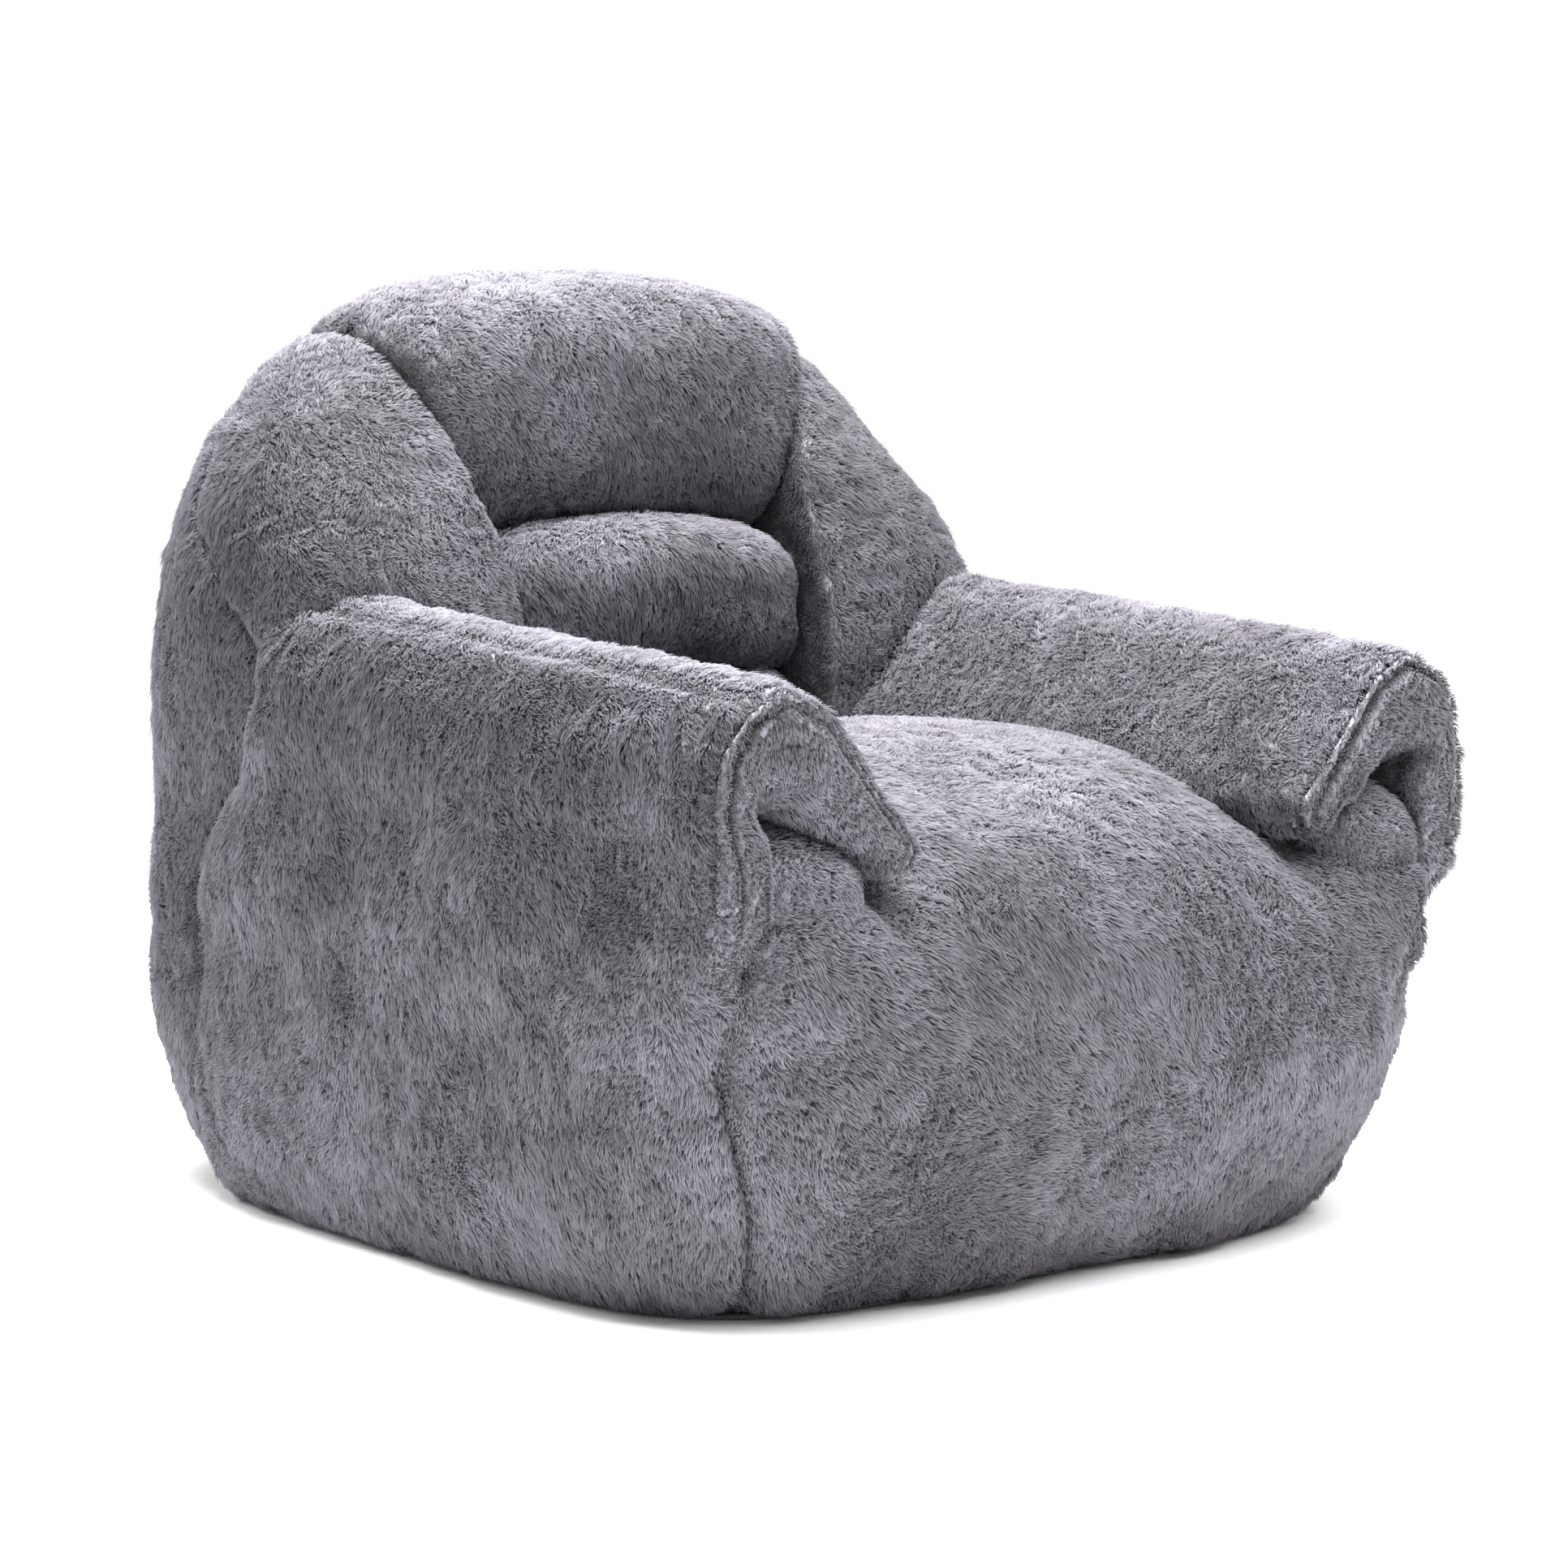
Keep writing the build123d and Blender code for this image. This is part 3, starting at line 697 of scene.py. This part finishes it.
def fur_strand():
    """Strands: painted shade at the root and a painted highlight at the tip, lit as the cloth
    under them is.
    """
    material, tree, shader = new_material("plush_strand", Roughness=0.7,
                                          Specular_IOR_Level=0.15)
    along = tree.nodes.new("ShaderNodeHairInfo")
    # painted shade and highlight: the ramp darkens each strand towards its root and lightens its
    # tip, for the shade the pile casts on itself
    height = ramp_node(tree, along.outputs["Intercept"],
                       [(0.0, (0.45, 0.44, 0.46)), (0.75, (1.0, 1.0, 1.0)),
                        (1.0, (1.22, 1.22, 1.23))])
    colour = blend_node(tree, 1.0, brushed_tone_and_painted_sheen(tree), height, "MULTIPLY")
    single = ramp_node(tree, along.outputs["Random"],
                       [(0.0, (0.80, 0.79, 0.80)), (1.0, (1.20, 1.20, 1.21))])
    colour = blend_node(tree, 1.0, colour, single, "MULTIPLY")
    tree.links.new(colour, shader.inputs["Base Color"])
    facing = tree.nodes.new("ShaderNodeAttribute")
    facing.attribute_name = "facing"
    unit = tree.nodes.new("ShaderNodeVectorMath")
    unit.operation = "NORMALIZE"
    tree.links.new(facing.outputs["Vector"], unit.inputs[0])
    tree.links.new(unit.outputs["Vector"], shader.inputs["Normal"])
    return material


# ---- strands of pile ---------------------------------------------------------------------
LEAN = np.array((0.10, -0.55, -0.85))     # the way the cloth was cut: down and forwards
STRANDS_PER_M2 = 320000
STRAND_LENGTH = 0.0105
# how far along the normal and along the lean a strand's second to last points lie
STRAND_CURL = ((0.33, 0.10), (0.56, 0.31), (0.66, 0.60))
STRAND_RADII = (0.00042, 0.00040, 0.00030, 0.00006)
ZIP_CLEAR = (0.285, 0.49, 0.034)  # pile is parted within this half length, from this y, this near


def strands(obj, own, seams, material, seed):
    """Pile on the seen part of a panel: tufted, leaning with the cloth, combed by noise."""
    mesh = obj.data
    mesh.calc_loop_triangles()
    corner = np.empty(len(mesh.loop_triangles) * 3, np.int32)
    mesh.loop_triangles.foreach_get("vertices", corner)
    corner = corner.reshape(-1, 3)
    at = positions(obj)
    out = normals(obj)
    hidden = covered(at + out * 0.004, own) > 0.001
    hidden |= at[:, 2] < 0.006
    corner = corner[~hidden[corner].all(axis=1)]
    edge_a = at[corner[:, 1]] - at[corner[:, 0]]
    edge_b = at[corner[:, 2]] - at[corner[:, 0]]
    area = 0.5 * np.linalg.norm(np.cross(edge_a, edge_b), axis=1)
    random = np.random.default_rng(seed)
    count = int(area.sum() * STRANDS_PER_M2)
    chosen = random.choice(len(corner), count, p=area / area.sum())
    u, v = random.random((2, count))
    fold = u + v > 1
    u[fold], v[fold] = 1 - u[fold], 1 - v[fold]
    weights = np.stack([1 - u - v, u, v], axis=1)[:, :, None]
    root = (at[corner[chosen]] * weights).sum(axis=1)
    up = (out[corner[chosen]] * weights).sum(axis=1)
    up /= np.linalg.norm(up, axis=1, keepdims=True)
    comb = LEAN + 0.90 * noise_vectors(root, 0.13, 31) + 0.60 * noise_vectors(root, 0.035, 37)
    comb = comb + 0.62 * noise_vectors(root, 0.008, 41)
    comb = comb + 0.28 * random.standard_normal((count, 3))
    near_zip = np.abs(root[:, 0]) < ZIP_CLEAR[0]
    near_zip &= (root[:, 1] > ZIP_CLEAR[1]) & (np.abs(root[:, 2] - ZIP_Z) < ZIP_CLEAR[2])
    comb[near_zip] = (0, 0.2, 0)
    comb[near_zip, 2] = 1.6 * np.sign(root[near_zip, 2] - ZIP_Z)
    comb -= up * (comb * up).sum(axis=1, keepdims=True)
    reach = STRAND_LENGTH * (0.75 + 0.5 * random.random(count))
    reach *= 1 + 0.25 * noise(root, 0.02, 43)
    reach[near_zip] *= 0.5
    reach *= 0.42 + 0.58 * step(0.001, 0.010, seams(root))
    at_mouth = step(0.045, 0.015, root[:, 1] - MOUTH_Y) * step(0.33, 0.36, root[:, 2])
    reach *= 1 - 0.22 * at_mouth
    reach = reach[:, None]
    points = np.empty((count, len(STRAND_RADII), 3), np.float32)
    points[:, 0] = root - up * 0.001
    for number, (rise, bend) in enumerate(STRAND_CURL, 1):
        points[:, number] = root + reach * (rise * up + bend * comb)
    points[:, :, 2] = np.maximum(points[:, :, 2], 0.0008)
    curves = bpy.data.hair_curves.new(obj.name + "_pile")
    curves.add_curves([len(STRAND_RADII)] * count)
    curves.attributes["position"].data.foreach_set("vector", points.ravel())
    radius = curves.attributes.get("radius") or curves.attributes.new("radius", "FLOAT", "POINT")
    thick = np.tile(np.array(STRAND_RADII, np.float32), count)
    radius.data.foreach_set("value", thick)
    facing = curves.attributes.new("facing", "FLOAT_VECTOR", "CURVE")
    facing.data.foreach_set("vector", (up + 0.35 * comb).astype(np.float32).ravel())
    curves.materials.append(material)
    pile = bpy.data.objects.new(obj.name + "_pile", curves)
    bpy.context.scene.collection.objects.link(pile)
    pile.parent = obj


# ---- the padded panels -------------------------------------------------------------------
backing_material = fur_backing()
strand_material = fur_strand()
for number, (name, form, low, high, cell, seams, cap, fill, nodes) in enumerate(PANELS):
    for hand in ("right", "left") if name in PAIRED else ("",):
        label = f"{hand}_{name}" if hand else name
        piece = make_panel(label, form, low, high, cell, hand == "left")
        if cap:
            at = positions(piece)
            held = (seams(at) < 0.010) | (at[:, 2] < 0.02)
            held |= covered(at, name) > -0.001
            inflate(piece, held, cap)
        subdivide(piece)
        relief(piece, seams)
        piece.data.materials.append(backing_material)
        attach(piece, "chair")
        prefix = f"{hand}_" if hand else ""
        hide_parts(*[prefix + node for node in nodes])
        seed = 100 + 2 * number + (hand == "left")
        strands(piece, name, seams, strand_material, seed)


# ---- base cloth and zip ------------------------------------------------------------------
def base_cloth():
    material, tree, shader = new_material("base_cloth", Roughness=0.85)
    weave = noise_node(tree, 900, (1, 1, 1), 1.0)
    colour = ramp_node(tree, weave, [(0.3, (0.06, 0.06, 0.065)), (0.7, (0.11, 0.11, 0.12))])
    tree.links.new(colour, shader.inputs["Base Color"])
    bump_node(tree, shader, weave, 0.5, 0.0006)
    return material


def zip_metal():
    material, tree, shader = new_material("zip_metal", Metallic=1.0)
    wear = noise_node(tree, 260, (1, 1, 1), 4.0, 0.7)
    colour = ramp_node(tree, wear, [(0.35, (0.42, 0.41, 0.40)), (0.65, (0.62, 0.61, 0.60))])
    tree.links.new(colour, shader.inputs["Base Color"])
    rough = ramp_node(tree, wear, [(0.3, (0.22, 0.22, 0.22)), (0.7, (0.45, 0.45, 0.45))])
    tree.links.new(rough, shader.inputs["Roughness"])
    bump_node(tree, shader, wear, 0.15, 0.0002)
    return material


def tape_cloth():
    material, tree, shader = new_material("zip_tape", Roughness=0.8, Sheen_Weight=0.2)
    place = tree.nodes.new("ShaderNodeTexCoord")
    ribs = tree.nodes.new("ShaderNodeTexWave")
    ribs.bands_direction = "DIAGONAL"
    ribs.inputs["Scale"].default_value = 330
    ribs.inputs["Distortion"].default_value = 0.4
    tree.links.new(place.outputs["Object"], ribs.inputs["Vector"])
    colour = ramp_node(tree, ribs.outputs["Fac"],
                       [(0.2, (0.085, 0.083, 0.09)), (0.8, (0.17, 0.166, 0.178))])
    tree.links.new(colour, shader.inputs["Base Color"])
    bump_node(tree, shader, ribs.outputs["Fac"], 0.6, 0.0005)
    return material


def set_material(node, material):
    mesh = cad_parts[node].data
    mesh.materials.clear()
    mesh.materials.append(material)


metal = zip_metal()
for node in ("zip_slider", "zip_pull", "zip_stops"):
    set_material(node, metal)


FOOT_Z = 0.020            # height at which the foot's outline is taken
FOOT_INSET = 0.012        # how far the base cloth stays inside it


def foot_radius(angle):
    """How far the chair's foot reaches from the middle in one direction."""
    near, far = 0.15, 0.8
    for _ in range(24):
        middle = (near + far) / 2
        x = np.array([middle * math.cos(angle)])
        y = np.array([middle * math.sin(angle)])
        z = np.array([FOOT_Z])
        depth = np.minimum(block(x, y, z), dome(x, y, z))[0]
        near, far = (middle, far) if depth < -FOOT_INSET else (near, middle)
    return near


def base_sheet():
    """The cloth that the chair stands on, with a rolled hem just inside the fur."""
    # the share of the foot's radius, and the height: along the top, round the hem, back below
    profile = [(0.02, .0030), (0.35, .0030), (0.7, .0030), (0.94, .0030), (0.965, .0038),
               (0.985, .0040), (1.0, .0024), (0.99, .0004), (0.96, .0001), (0.7, .0002),
               (0.35, .0002), (0.02, .0002)]
    around = 240
    angles = np.arange(around) * 2 * math.pi / around
    reach = np.array([foot_radius(angle) for angle in angles])
    vertices = []
    for share, height in profile:
        for angle, far in zip(angles, reach * share):
            vertices.append((far * math.cos(angle), far * math.sin(angle), height))
    faces = []
    for i in range(len(profile) - 1):
        for j in range(around):
            k = (j + 1) % around
            faces.append((i * around + k, i * around + j, (i + 1) * around + j,
                          (i + 1) * around + k))
    return mesh_object("base_cloth", np.array(vertices), np.array(faces))


def coil(side):
    """One side's continuous spiral of teeth."""
    turns = 258
    around = 14
    end_gap = 0.0045
    off_middle = 0.0023
    spiral_z, spiral_y = 0.00115, 0.00135
    wire, wire_sides = 0.00042, 5
    t = np.linspace(0, turns * 2 * math.pi, turns * around)
    x = np.linspace(-ZIP_HALF_LENGTH + end_gap, ZIP_HALF_LENGTH - end_gap, len(t))
    z = ZIP_Z + side * off_middle + spiral_z * np.cos(t)
    y = ZIP_Y + spiral_y * np.sin(t)
    centre = np.stack([x, y, z], axis=1)
    along = np.gradient(centre, axis=0)
    along /= np.linalg.norm(along, axis=1, keepdims=True)
    across = np.cross(along, (1.0, 0, 0))
    across /= np.linalg.norm(across, axis=1, keepdims=True)
    other = np.cross(along, across)
    ring = np.linspace(0, 2 * math.pi, wire_sides, endpoint=False)
    vertices = centre[:, None] + wire * (np.cos(ring)[None, :, None] * across[:, None]
                                         + np.sin(ring)[None, :, None] * other[:, None])
    corner = np.arange(wire_sides)
    row = np.arange(len(t) - 1)[:, None] * wire_sides
    first = row + corner
    second = row + (corner + 1) % wire_sides
    quads = np.stack([first, second, second + wire_sides, first + wire_sides], axis=-1)
    quads = quads.reshape(-1, 4)
    return vertices.reshape(-1, 3), quads


def tape(side):
    """One woven tape: a thin band with a corded edge, sewn to the cover."""
    # distance from the zip's middle line, and height over the middle of the tape
    profile = [(.0009, -.0006), (.0060, -.0006), (.0120, -.0005), (.0150, -.0007),
               (.0168, -.0009), (.0178, -.0004), (.0178, .0003), (.0168, .0007),
               (.0150, .0005), (.0120, .0004), (.0060, .0006), (.0009, .0006)]
    columns = 180
    x = np.linspace(-ZIP_HALF_LENGTH, ZIP_HALF_LENGTH, columns)
    vertices = []
    for value in x:
        for across, thick in profile:
            wave = 0.0003 * math.sin(value * 95 + side) * min(across / 0.015, 1)
            vertices.append((value, ZIP_Y + thick + wave, ZIP_Z + side * across))
    count = len(profile)
    faces = []
    for i in range(columns - 1):
        for j in range(count):
            k = (j + 1) % count
            ring = (i * count + j, i * count + k, (i + 1) * count + k, (i + 1) * count + j)
            faces.append(ring if side > 0 else ring[::-1])
    return np.array(vertices), np.array(faces)


def closed(obj):
    """Fills the open ends of a swept mesh."""
    work = bmesh.new()
    work.from_mesh(obj.data)
    bmesh.ops.holes_fill(work, edges=[e for e in work.edges if e.is_boundary], sides=0)
    bmesh.ops.recalc_face_normals(work, faces=work.faces)
    work.to_mesh(obj.data)
    work.free()


base = base_sheet()
closed(base)
base.data.materials.append(base_cloth())
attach(base, "chair")
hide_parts("base_panel")

tape_material = tape_cloth()
for side_name, way in (("upper", 1), ("lower", -1)):
    band = mesh_object(f"zip_{side_name}_band", *tape(way))
    closed(band)
    band.data.materials.append(tape_material)
    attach(band, "chair")
    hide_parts(f"zip_{side_name}_tape")
    teeth = mesh_object(f"zip_{side_name}_coil", *coil(way))
    closed(teeth)
    teeth.data.materials.append(tape_material)
    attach(teeth, "chair")


# ---- studio ------------------------------------------------------------------------------
FLOOR_RADIUS = 2.7
FLOOR_Z = -0.0006
WORLD_LIGHT = 0.54        # the white surroundings, as a light
WORLD_SEEN = 1.0          # and as the camera sees them
CAMERA_PLACE = (-2.353, -2.939, 0.782)
CAMERA_TARGET = (-0.014, -0.0425, 0.407)
CAMERA_LENS = 90.7


def studio_floor():
    """A pale disc that catches the chair's shadow."""
    around = 96
    angles = np.arange(around) * 2 * math.pi / around
    rim = np.stack([np.cos(angles), np.sin(angles), 0 * angles], axis=1)
    rings = [rim * reach + (0, 0, FLOOR_Z) for reach in (0.01, 1.2, FLOOR_RADIUS)]
    first = np.arange(around)
    second = (first + 1) % around
    faces = [np.stack([first, second, second + around, first + around], axis=1)[:, ::-1] + k
             for k in (0, around)]
    floor = mesh_object("floor", np.concatenate(rings), np.concatenate(faces))
    material, _, _ = new_material("studio_floor", Roughness=0.9,
                                  Base_Color=(0.95, 0.95, 0.955, 1))
    floor.data.materials.append(material)


def soft_light(name, place, target, size, power):
    data = bpy.data.lights.new(name, "AREA")
    data.shape = "DISK"
    data.size = size
    data.energy = power
    light = bpy.data.objects.new(name, data)
    light.location = place
    light.rotation_euler = (Vector(target) - Vector(place)).to_track_quat("-Z", "Y").to_euler()
    bpy.context.scene.collection.objects.link(light)


studio_floor()
world = bpy.data.worlds.new("studio")
world.use_nodes = True
backdrop = world.node_tree.nodes["Background"]
backdrop.inputs["Color"].default_value = (1, 1, 1, 1)
seen = world.node_tree.nodes.new("ShaderNodeLightPath")
strength = world.node_tree.nodes.new("ShaderNodeMapRange")
strength.inputs["To Min"].default_value = WORLD_LIGHT
strength.inputs["To Max"].default_value = WORLD_SEEN
world.node_tree.links.new(seen.outputs["Is Camera Ray"], strength.inputs["Value"])
world.node_tree.links.new(strength.outputs["Result"], backdrop.inputs["Strength"])
bpy.context.scene.world = world
soft_light("key", (0.2, -1.9, 2.6), (0, 0.2, 0.75), 1.5, 88)
soft_light("fill", (3.0, -1.2, 2.4), (0, 0, 0.4), 2.6, 42)
soft_light("top", (-0.4, -0.1, 2.7), (0, 0.1, 0.4), 2.2, 250)
soft_light("rim", (-1.7, 2.7, 2.2), (-0.2, 0.2, 0.6), 1.6, 70)

camera_data = bpy.data.cameras.new("camera")
camera_data.lens = CAMERA_LENS
camera_data.sensor_width = 36
camera = bpy.data.objects.new("camera", camera_data)
camera.location = CAMERA_PLACE
sight = Vector(CAMERA_TARGET) - camera.location
camera.rotation_euler = sight.to_track_quat("-Z", "Y").to_euler()
bpy.context.scene.collection.objects.link(camera)
bpy.context.scene.camera = camera
bpy.context.scene.view_settings.view_transform = "Standard"
